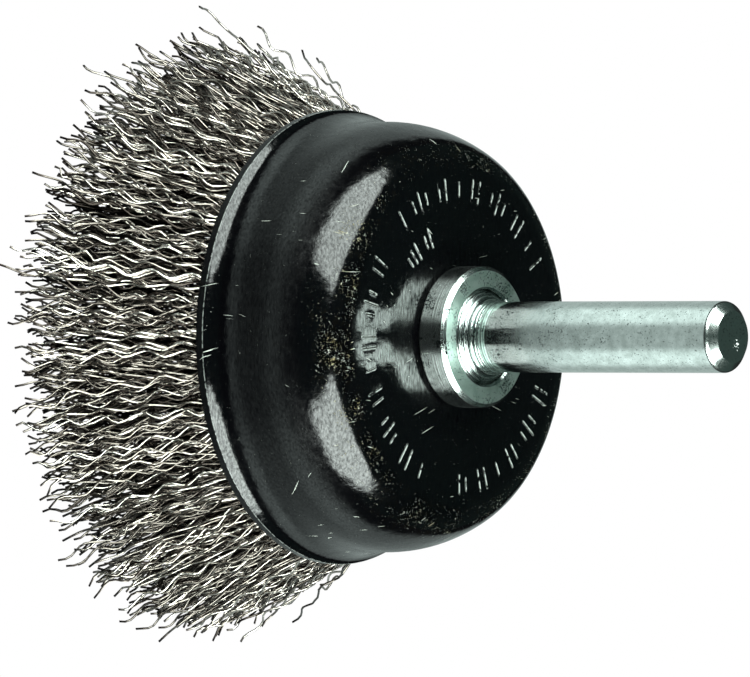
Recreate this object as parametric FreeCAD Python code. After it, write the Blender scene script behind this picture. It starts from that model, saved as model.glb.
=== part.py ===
import FreeCAD, Part
import math
import os
import random

# Wire cup brush on a straight shank, in millimetres.
# Z is the axis of the brush with the shank up. z = 0 is the surface that the
# longest wires stand on, and the origin is the middle of the ring of tips.

# Pressed cup
cup_height = 13.2        # from the edge of the rim to the top
sheet = 0.7              # thickness of the steel sheet
wall_r = 18.4            # outside of the straight part of the wall
upper_wall_r = 11.9      # outside radius of the wall's upper part, which curves in
shoulder_r = 3.4         # outside radius of the tighter bend into the flat top
shoulder_turn = 61.0     # degrees that this bend turns, down from the flat
rim_out = 1.1            # how far the flared rim stands out from the wall
flare_r = 3.4            # radius of the flare, on the outside of the cup

# Shank, turned in one piece with its neck
shank_d = 6.0
shank_length = 23.25     # straight part, above the cone
shank_end_chamfer = 0.88
shank_end_chamfer_height = 0.7
neck_d = 7.9             # passes through the collar, the cup and the inner plate
neck_recess = 0.4        # the cone starts this far below the collar's face
neck_clearance = 0.1     # round the neck, in every hole that it passes
cone_height = 2.1        # from the neck up to the straight shank
cone_hollow = 0.22       # depth of the cone's hollow curve
cone_step = 0.12         # step that the turning tool left part way up the cone
cone_step_height = 0.84  # of the step above the cone's foot
rivet_head_d = 11.2      # the neck's lower end, spread under the inner plate
rivet_head_height = 1.4
rivet_head_crown = 0.7   # height of its rounded part
rivet_head_flat_r = 2.25 # flat in the middle of the rounded part
rivet_head_bulge = 0.2   # of the rounded part, out from a straight cone

# Collar
collar_d = 12.0
collar_height = 2.9
collar_chamfer = 0.35    # upper outer corner
collar_foot_chamfer = 0.34
collar_bore_chamfer = 0.2

# Inner plate, a dish that holds the wires against the wall
plate_sheet = 0.8
wire_room = 6.3          # between its open lower edge and the wall
plate_lean = 5.0         # degrees that its skirt opens towards the mouth
plate_bend_r = 2.6       # outside radius between its skirt and its flat
plate_depth = 8.6

# Flat steel ring that the wires are folded over
ring_width = 2.0
ring_height = 1.5

# Wires
trim = 15.1              # free height of the longest wires below the rim's edge
strand_width = 0.85      # side of a strand, a bunch of nested wires
strand_gap = 0.12        # clearance round a strand where it is packed
sectors = 2              # the strands repeat round the axis this many times
folds_in_sector = 38     # strands in one sector, an even number, each with two legs
leg_rows = 4             # rows of legs, from the hollow middle out to the wall
crimp_pitch = 3.9        # length of one wave of the crimp
crimp_depth = 0.42       # height of a wave to each side of the strand's line
crimp_twist = 70.0       # degrees that the waves turn out of line at the tips
last_wave = 0.5          # height of the wave at the tip, as a share of the others
uneven_trim = 1.5        # how much shorter than the longest a leg may be
trim_levels = 5          # lengths that the legs come in, from the longest down
face_outer_r = 25.3      # outer row of tips
face_inner_r = 15.6      # inner row of tips
leg_curve = 1.35         # above 1, a leg bends outwards as it goes down
tip_wander = 0.45        # how far a tip leaves its row, to each side
wander_seed = 11

# Levels
rim_z = trim
top_z = rim_z + cup_height
under_top_z = top_z - sheet
collar_top_z = top_z + collar_height
cone_z = collar_top_z - neck_recess
shank_z = cone_z + cone_height
shank_top_z = shank_z + shank_length + shank_end_chamfer_height
plate_under_z = under_top_z - plate_sheet
plate_mouth_z = under_top_z - plate_depth

# Holes that the neck passes
hole_r = neck_d / 2 + neck_clearance

# Radii that follow from the wall
rim_r = wall_r + rim_out
plate_mouth_r = wall_r - sheet - wire_room


def point(r, z):
    return FreeCAD.Vector(r, 0, z)


def heading(degrees):
    # Unit vector in the XZ plane, from the X axis towards Z.
    return point(math.cos(math.radians(degrees)), math.sin(math.radians(degrees)))


# The flare's centre, level with the foot of the wall. The rim is trimmed upright.
flare_drop = math.sqrt((flare_r + sheet) ** 2 - (flare_r - rim_out) ** 2)
wall_foot_z = rim_z + flare_drop
flare_centre = point(wall_r + flare_r, wall_foot_z)

# The two arcs between the wall and the flat top, tangent to each other
shoulder_low = 90 - shoulder_turn
arcs_apart = heading(shoulder_low) * (upper_wall_r - shoulder_r)
upper_wall_centre = point(wall_r - upper_wall_r, top_z - shoulder_r - arcs_apart.z)
shoulder_centre = upper_wall_centre + arcs_apart

# Section of a strand, and where the strands and their ring lie in the cup
strand_r = strand_width / math.sqrt(3)
packed_r = strand_r + strand_gap
fold_reach = ring_width / 2 + packed_r
fold_corner = (2 - math.sqrt(2)) * packed_r    # keeps a strand clear of the ring's edge
ring_r = plate_mouth_r + packed_r + fold_reach


def bend_centre(foot, lean, bend_r, flat_z):
    # Centre of the bend between a flat top and a wall that stands on foot.
    normal = heading(lean)
    centre_z = flat_z - bend_r
    reach = foot.dot(normal) - bend_r
    return point((reach - normal.z * centre_z) / normal.x, centre_z)


# The fold's outer corner lies against the inside of the shoulder.
fold_room = shoulder_r - sheet - packed_r
fold_out = ring_r + fold_reach - fold_corner - shoulder_centre.x
fold_z = shoulder_centre.z + math.sqrt(fold_room ** 2 - fold_out ** 2)
ring_top_z = fold_z - packed_r
ring_low_z = ring_top_z - ring_height


def arc(centre, radius, first, last):
    # Arc in the XZ plane between two angles, in degrees from the X axis.
    ends = [centre + heading(angle) * radius for angle in (first, (first + last) / 2, last)]
    return Part.Arc(*ends).toShape()


def lines(*points):
    return [Part.makeLine(start, end) for start, end in zip(points, points[1:])]


def spin(edges):
    # A closed section in the XZ plane, spun round the Z axis.
    section = Part.Face(Part.Wire(Part.__sortEdges__(edges)))
    return section.revolve(FreeCAD.Vector(0, 0, 0), FreeCAD.Vector(0, 0, 1), 360)


def first_point(edge):
    return edge.valueAt(edge.FirstParameter)


def last_point(edge):
    return edge.valueAt(edge.LastParameter)


def cup_skin(inset):
    # The cup's line from its hole out to the rim, moved into the metal by inset.
    shoulder = arc(shoulder_centre, shoulder_r - inset, 90, shoulder_low)
    upper_wall = arc(upper_wall_centre, upper_wall_r - inset, shoulder_low, 0)
    lip = math.degrees(math.acos((flare_r - rim_out) / (flare_r + inset)))
    flare = arc(flare_centre, flare_r + inset, 180, 180 + lip)
    flat = lines(point(hole_r, top_z - inset), first_point(shoulder))
    wall = lines(last_point(upper_wall), first_point(flare))
    return flat + [shoulder, upper_wall] + wall + [flare]


def plate_skin(inset):
    # The inner plate's line from its hole to its mouth, moved inwards by inset.
    foot = point(plate_mouth_r, plate_mouth_z)
    centre = bend_centre(foot, plate_lean, plate_bend_r, under_top_z)
    bend = arc(centre, plate_bend_r - inset, 90, plate_lean)
    flat = lines(point(hole_r, under_top_z - inset), first_point(bend))
    skirt = lines(last_point(bend), foot - heading(plate_lean) * inset)
    return flat + [bend] + skirt


def pressed(skin, thickness):
    # Sheet metal between a skin and the same skin moved in by the thickness.
    outside = skin(0)
    inside = skin(thickness)
    hole_edge = lines(first_point(outside[0]), first_point(inside[0]))
    rim_edge = lines(last_point(outside[-1]), last_point(inside[-1]))
    return spin(outside + inside + hole_edge + rim_edge)


def cup():
    return pressed(cup_skin, sheet)


def inner_plate():
    return pressed(plate_skin, plate_sheet)


def bowed(low, high, bow):
    # Arc between two points, bowed towards the axis, or away from it if bow is negative.
    middle = (low + high) * 0.5
    across = point(low.z - high.z, high.x - low.x).normalize()
    return Part.Arc(low, middle + across * bow, high).toShape()


def shank():
    shank_r = shank_d / 2
    neck_r = neck_d / 2
    head_r = rivet_head_d / 2
    step_x = (neck_r + shank_r) / 2
    step_z = cone_z + cone_step_height
    head_z = plate_under_z - rivet_head_height
    crown_z = head_z + rivet_head_crown

    end = lines(
        point(0, shank_top_z),
        point(shank_r - shank_end_chamfer, shank_top_z),
        point(shank_r, shank_top_z - shank_end_chamfer_height),
        point(shank_r, shank_z),
    )
    upper_cone = bowed(point(step_x, step_z), point(shank_r, shank_z), cone_hollow)
    step = lines(point(step_x, step_z), point(step_x + cone_step, step_z))
    lower_cone = lines(point(step_x + cone_step, step_z), point(neck_r, cone_z))
    neck = lines(
        point(neck_r, cone_z),
        point(neck_r, plate_under_z),
        point(head_r, plate_under_z),
        point(head_r, crown_z),
    )
    crown = bowed(point(rivet_head_flat_r, head_z), point(head_r, crown_z), -rivet_head_bulge)
    foot = lines(point(rivet_head_flat_r, head_z), point(0, head_z), point(0, shank_top_z))
    return spin(end + [upper_cone] + step + lower_cone + neck + [crown] + foot)


def collar():
    outer_r = collar_d / 2
    return spin(
        lines(
            point(hole_r, top_z),
            point(outer_r - collar_foot_chamfer, top_z),
            point(outer_r, top_z + collar_foot_chamfer),
            point(outer_r, collar_top_z - collar_chamfer),
            point(outer_r - collar_chamfer, collar_top_z),
            point(hole_r + collar_bore_chamfer, collar_top_z),
            point(hole_r, collar_top_z - collar_bore_chamfer),
            point(hole_r, top_z),
        )
    )


def retaining_ring():
    inner_r = ring_r - ring_width / 2
    outer_r = ring_r + ring_width / 2
    return spin(
        lines(
            point(inner_r, ring_low_z),
            point(outer_r, ring_low_z),
            point(outer_r, ring_top_z),
            point(inner_r, ring_top_z),
            point(inner_r, ring_low_z),
        )
    )


def mitred_rod(path):
    # A strand of three-sided section along a bent line, mitred at each bend and
    # cut level at both ends, as the brush is trimmed.
    up = FreeCAD.Vector(0, 0, 1)
    runs = [(end - start).normalize() for start, end in zip(path, path[1:])]
    cuts = [up] + [before + after for before, after in zip(runs, runs[1:])] + [up]
    side = runs[0].cross(FreeCAD.Vector(1, 0, 0)).normalize() * strand_r
    corners = []
    for turn in (0, 120, 240):
        corners.append(path[0] + FreeCAD.Rotation(runs[0], turn).multVec(side))
    sections = []
    for place, cut, run in zip(path, cuts, runs[:1] + runs):
        corners = [at + run * ((place - at).dot(cut) / run.dot(cut)) for at in corners]
        sections.append(Part.makePolygon(corners + corners[:1]))
    return Part.makeLoft(sections, True, True)


def leg(throat_r, tip_r, chance):
    # Points of a leg from where it leaves the packed cup down to its tip.
    # X is outwards and Y is round the brush.
    tip = FreeCAD.Vector(
        tip_r + chance.uniform(-tip_wander, tip_wander),
        chance.uniform(-tip_wander, tip_wander),
        chance.randrange(trim_levels) / (trim_levels - 1) * uneven_trim,
    )
    twist = math.radians(chance.uniform(-crimp_twist, crimp_twist))
    throat = FreeCAD.Vector(throat_r, 0, wall_foot_z)
    waves = round(2 * throat.z / crimp_pitch)
    wave_side = chance.choice((-1, 1))
    points = [throat]
    for step in range(1, waves + 1):
        share = step / waves
        wave_side = -wave_side
        height = crimp_depth * wave_side * (last_wave if step == waves else 1)
        points.append(
            FreeCAD.Vector(
                throat.x + (tip.x - throat.x) * share ** leg_curve + height * math.sin(twist * share),
                tip.y * share + height * math.cos(twist * share),
                throat.z + (tip.z - throat.z) * share,
            )
        )
    return points


def strand(rows, chance):
    # One strand, folded over the ring, with its outer and inner legs in two rows.
    rows_apart = (wire_room - 2 * packed_r) / (leg_rows - 1)
    tips_apart = (face_outer_r - face_inner_r) / (leg_rows - 1)
    legs = []
    for row in rows:
        throat_r = plate_mouth_r + packed_r + rows_apart * row
        legs.append(leg(throat_r, face_inner_r + tips_apart * row, chance))
    outer_x = ring_r + fold_reach
    inner_x = ring_r - fold_reach
    fold = [
        point(outer_x, ring_low_z),
        point(outer_x, fold_z - fold_corner),
        point(outer_x - fold_corner, fold_z),
        point(inner_x + fold_corner, fold_z),
        point(inner_x, fold_z - fold_corner),
        point(inner_x, ring_low_z),
    ]
    return mitred_rod(legs[0][::-1] + fold + legs[1])


def wire_fill():
    # Rows are counted from the hollow middle outwards. Every other strand takes
    # the two outermost rows' ends, and the ones between them take the middle rows.
    chance = random.Random(wander_seed)
    pitch = 360 / (sectors * folds_in_sector)
    centre = FreeCAD.Vector(0, 0, 0)
    up = FreeCAD.Vector(0, 0, 1)
    solids = []
    for number in range(folds_in_sector):
        rows = (leg_rows - 1, 0) if number % 2 else (leg_rows - 2, 1)
        one = strand(rows, chance)
        for sector in range(sectors):
            turned = one.copy()
            turned.rotate(centre, up, pitch * (number + folds_in_sector * sector))
            solids.append(turned)
    return Part.makeCompound(solids)


os.makedirs("parts", exist_ok=True)
for node in (cup, collar, shank, inner_plate, retaining_ring, wire_fill):
    node().exportStep("parts/" + node.__name__ + ".step")
    print("wrote", node.__name__)
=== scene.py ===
import math

import bmesh
import bpy
from mathutils import Matrix, Vector


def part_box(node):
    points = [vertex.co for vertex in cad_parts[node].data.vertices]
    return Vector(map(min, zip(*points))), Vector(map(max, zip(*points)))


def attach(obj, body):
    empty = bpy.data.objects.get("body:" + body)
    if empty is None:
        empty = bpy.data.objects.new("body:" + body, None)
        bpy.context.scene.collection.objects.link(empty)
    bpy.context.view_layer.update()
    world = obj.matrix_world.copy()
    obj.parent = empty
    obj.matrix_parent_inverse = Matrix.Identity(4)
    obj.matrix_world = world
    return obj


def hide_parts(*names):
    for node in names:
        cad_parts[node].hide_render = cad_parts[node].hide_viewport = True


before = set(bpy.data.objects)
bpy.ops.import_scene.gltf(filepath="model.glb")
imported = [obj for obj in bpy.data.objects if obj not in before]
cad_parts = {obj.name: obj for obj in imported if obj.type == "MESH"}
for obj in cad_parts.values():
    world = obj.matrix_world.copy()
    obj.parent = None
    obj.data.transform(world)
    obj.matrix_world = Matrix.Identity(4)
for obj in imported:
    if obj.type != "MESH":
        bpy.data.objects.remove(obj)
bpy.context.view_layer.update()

# Wire cup brush, standing on the tips of its wires with the shank up.
# Sizes in the dictionaries are millimetres and degrees, unless a note says otherwise.

mm = 0.001
cupLow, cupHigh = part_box("cup")
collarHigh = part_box("collar")[1]
shankLow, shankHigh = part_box("shank")
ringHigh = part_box("retaining_ring")[1]
rimZ, topZ = cupLow.z / mm, cupHigh.z / mm
rimRadius = cupHigh.x / mm
collarTopZ, collarRadius = collarHigh.z / mm, collarHigh.x / mm
shankTopZ, rivetZ, rivetRadius = shankHigh.z / mm, shankLow.z / mm, shankHigh.x / mm
ringRadius = ringHigh.x / mm - 1.0           # to the middle of the retaining ring's section
foldZ = ringHigh.z / mm + 0.6                # the wires fold over the ring here


def add(tree, kind, links=(), **settings):
    # one node, with its settings and what feeds its sockets, by name or in order
    node = tree.nodes.new(kind)
    for name, value in settings.items():
        setattr(node, name, value)
    sockets = [socket for socket in node.inputs if socket.enabled]
    pairs = links.items() if isinstance(links, dict) else enumerate(links)
    for key, value in pairs:
        into = sockets[key] if isinstance(key, int) else next(s for s in sockets if s.name == key)
        if isinstance(value, bpy.types.Node):
            value = next(s for s in value.outputs if s.enabled)
        if isinstance(value, bpy.types.NodeSocket):
            tree.links.new(value, into)
        else:
            into.default_value = value
    return node


def calc(tree, operation, *values):
    return add(tree, "ShaderNodeMath", values, operation=operation)


def vectors(tree, operation, *values):
    return add(tree, "ShaderNodeVectorMath", values, operation=operation)


def remap(tree, value, low, high, toLow=0.0, toHigh=1.0, smooth=False):
    # brings what lies between low and high to between toLow and toHigh, and clamps the rest
    return add(tree, "ShaderNodeMapRange", {
        "Value": value, "From Min": low, "From Max": high, "To Min": toLow, "To Max": toHigh},
        interpolation_type="SMOOTHSTEP" if smooth else "LINEAR")


def blend(tree, share, first, second, kind="RGBA"):
    return add(tree, "ShaderNodeMix", {"Factor": share, "A": first, "B": second}, data_type=kind)


def noise(tree, place, scale, detail=2.0, rough=0.5, distortion=0.0):
    return add(tree, "ShaderNodeTexNoise", {
        "Vector": place, "Scale": scale, "Detail": detail, "Roughness": rough, "Distortion": distortion})


def around(middle, reach):
    return middle - reach, middle + reach


def linear(hexCode):
    # "#rrggbb" as seen on a screen, to the linear colour that a shader takes
    out = []
    for at in (1, 3, 5):
        c = int(hexCode[at:at + 2], 16) / 255
        out.append(c / 12.92 if c <= 0.04045 else ((c + 0.055) / 1.055) ** 2.4)
    return (*out, 1.0)


def newObject(name, data):
    obj = bpy.data.objects.new(name, data)
    bpy.context.scene.collection.objects.link(obj)
    return obj


def startMaterial(name, scale=1000):
    # place comes in millimetres, or in metres where scale is 1
    mat = bpy.data.materials.new(name)
    mat.use_nodes = True
    tree = mat.node_tree
    tree.nodes.clear()
    place = add(tree, "ShaderNodeTexCoord").outputs["Object"]
    return mat, tree, add(tree, "ShaderNodeMapping", {"Vector": place, "Scale": (scale, scale, scale)})


def finishMaterial(tree, shader):
    add(tree, "ShaderNodeOutputMaterial", {"Surface": shader})


enamel = {
    # the pale colour of worn edges is partly a painted highlight
    "black": "#020203", "dust": "#3a3222", "grit": "#b4b8b0", "rust": "#7f744e", "bareAndHighlight": "#a5aaa6",
    "roughness": 0.10, "roughSpread": 0.10, "wallRougher": 0.15,
    "wallFrom": (2.6, 4.2), "wallTo": (2.8, 4.4),    # the wall starts above the rim and ends below the top
    "coat": 0.44, "coatSpread": 0.26,            # how strongly the coat reflects, and how much that varies
    "streakSize": (0.75, 0.16, 0.16),            # of that variation
    "coatLevels": (0.33, 0.67),                  # levels are what counts as none and as all of a noise
    "cloudScale": 1.6, "cloudLevels": (0.35, 0.68),      # scales are a noise's, per millimetre
    "handled": (9.5, collarRadius + 1.0),        # rubbed duller round the collar
    "handledRougher": 0.10, "handledDuller": 0.20,
    "grainSize": 0.13, "grainHeight": 0.0045,    # nibs of dust under the coat
    "peelSize": 1.2, "peelHeight": 0.030,        # orange peel of a dipped coat
    "waveSize": 6.0, "waveHeight": 0.09,         # unevenness that the press left
    "speckSize": 0.17, "speckRare": 0.735, "speckDense": 0.590, "speckEdge": 0.035,
    "speckBend": 1.2, "kindScale": 0.9, "kindLevels": (0.40, 0.52),    # of the patches where grit is rusty
    "dirtLow": topZ - 3.4, "dirtRise": 2.4,      # grit sticks to this part of the bend
    "dirtHigh": topZ - 0.12, "dirtTop": topZ - 0.005,
    "dirtSide": (-9.0, -14.5), "dirtLeast": 0.66,        # and more so on this side, by Y
    "dirtElsewhere": 0.1, "patchScale": 0.32, "patchLevels": (0.30, 0.60),
    "filmScale": 2.2, "filmLevels": (0.50, 0.75), "filmMost": 0.14,    # dust in the coat
    "scratchLength": 2.6, "scratchWidth": 0.12, "scratchRare": 0.860, "scratchEdge": 0.02,
    "scratchTurns": ((0.3, 0.2, 0.9), (1.2, 0.5, 2.2)),  # two directions, in radians
    "scratchBend": 16.0, "bendScale": 0.09,      # how far their directions stray
    "knockScale": 0.21, "knockLevels": (0.40, 0.62),     # where scratches are more likely
    "knockShift": (-0.05, 0.02), "knockDirt": 0.055,
    "brokenScale": 2.6, "brokenLevels": (0.40, 0.50),    # of the gaps in worn edges
    "marksRougher": 0.4, "wornAndHighlitRougher": 0.25, "markHeight": 0.025,
}


def makeEnamel(s=enamel):
    # black baked enamel, dipped over pressed steel: a deep gloss with orange peel, fine
    # nibs that break up its highlights, and grit and a few scratches along the shoulder
    mat, tree, place = startMaterial("blackEnamel")
    parts = add(tree, "ShaderNodeSeparateXYZ", [place]).outputs
    z = parts["Z"]
    low = remap(tree, z, s["dirtLow"], s["dirtLow"] + s["dirtRise"], smooth=True)
    high = remap(tree, z, s["dirtTop"], s["dirtHigh"], smooth=True)
    shoulder = calc(tree, "MULTIPLY", low, high)
    side = remap(tree, parts["Y"], *s["dirtSide"], s["dirtLeast"], 1.0, smooth=True)
    shoulder = calc(tree, "MULTIPLY", shoulder, side)
    patchy = noise(tree, place, s["patchScale"], detail=4.0, rough=0.65)
    patchy = remap(tree, patchy, *s["patchLevels"])
    dirty = calc(tree, "MULTIPLY_ADD", shoulder, 1 - s["dirtElsewhere"], s["dirtElsewhere"])
    dirty = calc(tree, "MULTIPLY", dirty, patchy)

    # grit: the peaks of a fine noise, more of them where the coat is dirty
    grit = noise(tree, place, 1 / s["speckSize"], detail=3.0, rough=0.6, distortion=s["speckBend"])
    level = remap(tree, dirty, 0.0, 1.0, s["speckRare"], s["speckDense"])
    over = calc(tree, "SUBTRACT", grit, level)
    speck = remap(tree, over, 0.0, s["speckEdge"])

    # a few short scratches, in two directions, only where the coat was knocked
    knocked = noise(tree, place, s["knockScale"], detail=1.0)
    knocked = remap(tree, knocked, *s["knockLevels"], *s["knockShift"])
    knocked = calc(tree, "MULTIPLY_ADD", dirty, s["knockDirt"], knocked)
    bent = noise(tree, place, s["bendScale"], detail=0.0).outputs["Color"]
    bent = vectors(tree, "SCALE", bent, s["scratchBend"])
    bent = vectors(tree, "ADD", bent, place)
    scratch = None
    for turn in s["scratchTurns"]:
        skewed = add(tree, "ShaderNodeMapping", {
            "Vector": bent, "Rotation": turn,
            "Scale": (1 / s["scratchWidth"], 1 / s["scratchLength"], 1 / s["scratchLength"])})
        streak = noise(tree, skewed, 1.0, detail=0.0)
        streak = calc(tree, "ADD", streak, knocked)
        streak = remap(tree, streak, s["scratchRare"], s["scratchRare"] + s["scratchEdge"])
        scratch = calc(tree, "MAXIMUM", scratch, streak) if scratch else streak
    film = noise(tree, place, s["filmScale"], detail=6.0, rough=0.7)
    film = remap(tree, film, *s["filmLevels"], toHigh=s["filmMost"])
    dust = calc(tree, "MULTIPLY", film, dirty)

    # the rim's corner and the strokes' lips: worn to bare steel, and partly a painted highlight there
    wornAndHighlit = add(tree, "ShaderNodeAttribute", attribute_name="wornAndHighlit").outputs["Fac"]
    broken = noise(tree, place, s["brokenScale"], detail=3.0)
    broken = remap(tree, broken, *s["brokenLevels"])
    wornAndHighlit = calc(tree, "MULTIPLY", wornAndHighlit, broken)

    colour = blend(tree, dust, linear(s["black"]), linear(s["dust"]))
    marks = calc(tree, "MAXIMUM", speck, scratch)
    kind = noise(tree, place, s["kindScale"])
    kind = remap(tree, kind, *s["kindLevels"])
    kind = calc(tree, "MULTIPLY", kind, dirty)
    soil = blend(tree, kind, linear(s["grit"]), linear(s["rust"]))
    colour = blend(tree, marks, colour, soil)
    colour = blend(tree, wornAndHighlit, colour, linear(s["bareAndHighlight"]))

    cloud = noise(tree, place, s["cloudScale"], detail=8.0, rough=0.7)
    rough = remap(tree, cloud, *s["cloudLevels"], *around(s["roughness"], s["roughSpread"] / 2))
    rough = calc(tree, "MULTIPLY_ADD", marks, s["marksRougher"], rough)
    rough = calc(tree, "MULTIPLY_ADD", wornAndHighlit, s["wornAndHighlitRougher"], rough)
    across = add(tree, "ShaderNodeCombineXYZ", [parts["X"], parts["Y"], 0.0])
    radius = vectors(tree, "LENGTH", across).outputs["Value"]
    handled = remap(tree, radius, *s["handled"])
    rough = calc(tree, "MULTIPLY_ADD", handled, s["handledRougher"], rough)
    wall = remap(tree, z, rimZ + s["wallFrom"][0], rimZ + s["wallFrom"][1], smooth=True)
    bend = remap(tree, z, topZ - s["wallTo"][0], topZ - s["wallTo"][1], smooth=True)
    wall = calc(tree, "MULTIPLY", wall, bend)
    rough = calc(tree, "MULTIPLY_ADD", wall, s["wallRougher"], rough)
    coat = add(tree, "ShaderNodeMapping", {
        "Vector": place, "Scale": tuple(1 / size for size in s["streakSize"])})
    coat = noise(tree, coat, 1.0, detail=3.0, rough=0.7)
    coat = remap(tree, coat, *s["coatLevels"], *around(s["coat"], s["coatSpread"]))
    coat = calc(tree, "MULTIPLY_ADD", handled, -s["handledDuller"], coat)

    bump = None
    for size, height, detail in (("waveSize", "waveHeight", 0.0), ("peelSize", "peelHeight", 2.0),
                                 ("grainSize", "grainHeight", 2.0)):
        relief = noise(tree, place, 1 / s[size], detail=detail)
        links = {"Height": relief, "Distance": s[height] * mm}
        if bump:
            links["Normal"] = bump
        bump = add(tree, "ShaderNodeBump", links)
    bump = add(tree, "ShaderNodeBump", {
        "Height": marks, "Normal": bump, "Distance": s["markHeight"] * mm})
    finishMaterial(tree, add(tree, "ShaderNodeBsdfPrincipled", {
        "Base Color": colour, "Roughness": rough, "Normal": bump, "IOR": 1.5, "Specular IOR Level": coat}))
    return mat


zinc = {
    "bright": "#eef6f3", "dull": "#cbd4d0", "pit": "#1f2b2d", "smudge": "#e6ece9",
    "face": "#a9bfb6", "faceLeast": 0.68,        # the collar's face, darker and greener in patches, and the weakest share of that
    "faceBelow": collarTopZ + 1.0, "faceUp": (0.85, 0.97),         # where a normal points so far up
    "roughness": 0.20, "roughSpread": 0.10, "roughLevels": (0.3, 0.7),
    "faceRougher": 0.28,                         # the face is duller than the shank
    "neckSmoother": 0.09,                        # and the shank is smoothest at the neck
    "neckFrom": collarTopZ + 7.0, "neckTo": collarTopZ + 3.0, "neckFoot": collarTopZ + 1.9,
    "mottleSize": 0.9, "mottleLevels": (0.36, 0.66), "faceDarkeningLevels": (0.40, 0.60),
    "patchScale": 0.55, "patchLevels": (0.35, 0.65),
    "pitSize": 0.16, "pitRare": 0.665, "pitDense": 0.480, "pitEdge": 0.06, "pitDepth": 0.002,
    "neckTop": collarTopZ + 11.0, "pitsAbove": 0.25,     # few pits above this, more and more below
    "turnedTop": collarTopZ + 2.4, "turnedFade": 0.5, "turnedSize": 0.15, "turnedDepth": 0.032,    # rings
    "coneRadius": 4.1, "coneFade": 0.1,          # painted shade in the turning grooves within, and weaker rings beyond
    "coneGrooveShade": 0.93, "grooveShadeLevels": (0.53, 0.42), "collarRings": 0.35,
    "smudgeAt": (0.6, 0.5, shankTopZ), "smudgeSize": 1.3,
    "smudgeShift": (-0.35, 0.06), "smudgeLevels": (0.56, 0.62),
}


def makeZinc(s=zinc):
    # bright zinc plate, clear passivated, over turned steel: a cool, slightly green
    # white, finely mottled, with dark pits that lie closer towards the collar
    mat, tree, place = startMaterial("zincPlate")
    parts = add(tree, "ShaderNodeSeparateXYZ", [place]).outputs
    z = parts["Z"]
    mottle = noise(tree, place, 1 / s["mottleSize"], detail=8.0, rough=0.72)
    shade = remap(tree, mottle, *s["mottleLevels"])
    colour = blend(tree, shade, linear(s["bright"]), linear(s["dull"]))
    facing = add(tree, "ShaderNodeNewGeometry").outputs["Normal"]
    facing = add(tree, "ShaderNodeSeparateXYZ", [facing]).outputs["Z"]
    facing = remap(tree, facing, *s["faceUp"])
    below = calc(tree, "LESS_THAN", z, s["faceBelow"])
    facing = calc(tree, "MULTIPLY", facing, below)
    # the face that points up is made darker and greener, more so in some patches
    faceDarkening = remap(tree, mottle, *s["faceDarkeningLevels"], 1.0, s["faceLeast"])
    faceDarkening = calc(tree, "MULTIPLY", faceDarkening, facing)
    colour = blend(tree, faceDarkening, colour, linear(s["face"]))
    near = remap(tree, z, s["neckTop"], collarTopZ)
    pits = noise(tree, place, 1 / s["pitSize"], rough=0.6)
    patchy = noise(tree, place, s["patchScale"])
    patchy = remap(tree, patchy, *s["patchLevels"])
    dense = calc(tree, "MULTIPLY_ADD", near, 1 - s["pitsAbove"], s["pitsAbove"])
    dense = calc(tree, "MULTIPLY", dense, patchy)
    level = remap(tree, dense, 0.0, 1.0, s["pitRare"], s["pitDense"])
    over = calc(tree, "SUBTRACT", pits, level)
    pit = remap(tree, over, 0.0, s["pitEdge"])
    colour = blend(tree, pit, colour, linear(s["pit"]))
    rough = remap(tree, mottle, *s["roughLevels"], *around(s["roughness"], s["roughSpread"] / 2))
    rough = calc(tree, "MULTIPLY_ADD", facing, s["faceRougher"], rough)
    neck = remap(tree, z, s["neckFrom"], s["neckTo"], toHigh=-s["neckSmoother"], smooth=True)
    above = calc(tree, "GREATER_THAN", z, s["neckFoot"])
    rough = calc(tree, "MULTIPLY_ADD", neck, above, rough)

    # a pale smudge on the shank's end
    away = vectors(tree, "DISTANCE", place, s["smudgeAt"]).outputs["Value"]
    smudge = remap(tree, away, s["smudgeSize"], 0.0, *s["smudgeShift"])
    smudge = calc(tree, "ADD", smudge, pits)
    smudge = remap(tree, smudge, *s["smudgeLevels"])
    metal = calc(tree, "SUBTRACT", 1.0, smudge)
    colour = blend(tree, smudge, colour, linear(s["smudge"]))

    # rings from turning: painted shade in the cone's grooves, and a shallow relief on the collar too
    across = add(tree, "ShaderNodeCombineXYZ", [parts["X"], parts["Y"], 0.0])
    radius = vectors(tree, "LENGTH", across).outputs["Value"]
    along = calc(tree, "SUBTRACT", z, radius)
    rings = add(tree, "ShaderNodeTexNoise", {"W": along, "Scale": 1 / s["turnedSize"], "Detail": 2.0},
                noise_dimensions="1D")
    turned = remap(tree, z, s["turnedTop"], s["turnedTop"] - s["turnedFade"])
    cone = remap(tree, radius, s["coneRadius"] + s["coneFade"], s["coneRadius"])
    cone = calc(tree, "MULTIPLY", cone, turned)
    lines = remap(tree, rings, *s["grooveShadeLevels"], toHigh=s["coneGrooveShade"])
    lines = calc(tree, "MULTIPLY", lines, cone)
    # the pit colour here is painted shade in the grooves of the cone
    colour = blend(tree, lines, colour, linear(s["pit"]))
    deep = calc(tree, "MULTIPLY_ADD", cone, 1 - s["collarRings"], s["collarRings"])
    deep = calc(tree, "MULTIPLY", deep, turned)
    rings = calc(tree, "MULTIPLY", rings, deep)
    bump = add(tree, "ShaderNodeBump", {"Height": rings, "Distance": s["turnedDepth"] * mm})
    bump = add(tree, "ShaderNodeBump", {
        "Height": pits, "Normal": bump, "Distance": s["pitDepth"] * mm})
    bump = add(tree, "ShaderNodeBump", {
        "Height": pit, "Normal": bump, "Distance": -s["pitDepth"] * mm})
    finishMaterial(tree, add(tree, "ShaderNodeBsdfPrincipled", {
        "Base Color": colour, "Metallic": metal, "Roughness": rough, "Normal": bump}))
    return mat


bareSteel = {
    "light": "#a09c96", "dark": "#6f6a64", "roughness": (0.32, 0.57),
    "cloudScale": 0.5, "cloudLevels": (0.35, 0.65),
}


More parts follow.
